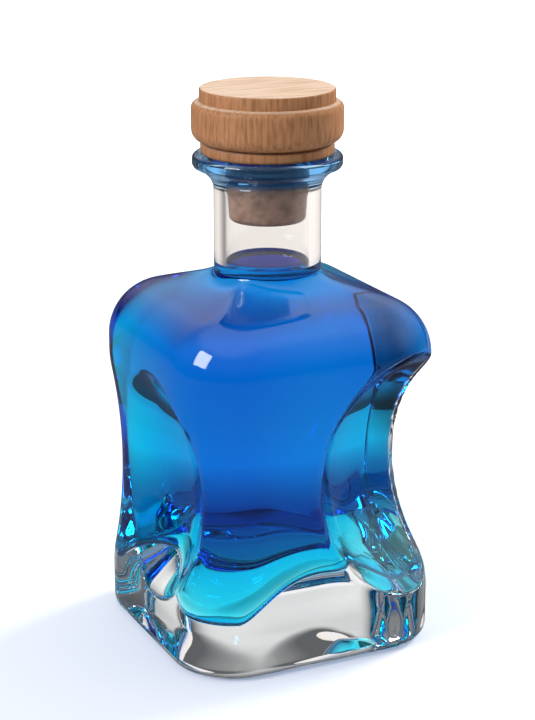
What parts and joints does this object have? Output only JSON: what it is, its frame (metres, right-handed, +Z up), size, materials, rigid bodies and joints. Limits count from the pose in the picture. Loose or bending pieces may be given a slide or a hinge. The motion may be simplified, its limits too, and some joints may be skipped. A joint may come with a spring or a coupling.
{
  "type": "stoppered glass bottle",
  "caption": "Square waisted glass bottle with three bowls pinched into its sides, a thick clear base and blue contents, closed by a tapered plug with a turned wooden head that lifts out of the neck.",
  "frame": {"origin": "centre of the flat underside that the bottle stands on, under the axis of its neck", "axes": "+Z up along the axis of the neck, front face towards -Y, the bowl that lies in one face towards -X"},
  "size_m": [0.063, 0.063, 0.1267],
  "materials": {
    "clear_glass": "fire polished",
    "blue_liquid": "clear liquid",
    "turned_wood": "turned and sanded, unvarnished",
    "plug": "matte moulded"
  },
  "bodies": {
    "bottle": {"bottle": "clear_glass", "liquid": "blue_liquid"},
    "stopper": {"stopper_head": "turned_wood", "stopper_plug": "plug"}
  },
  "joints": [
    {"name": "stopper_lift", "type": "slide", "parent": "bottle", "child": "stopper", "axis": [0, 0, 1], "range_m": [0, 0.035]}
  ]
}
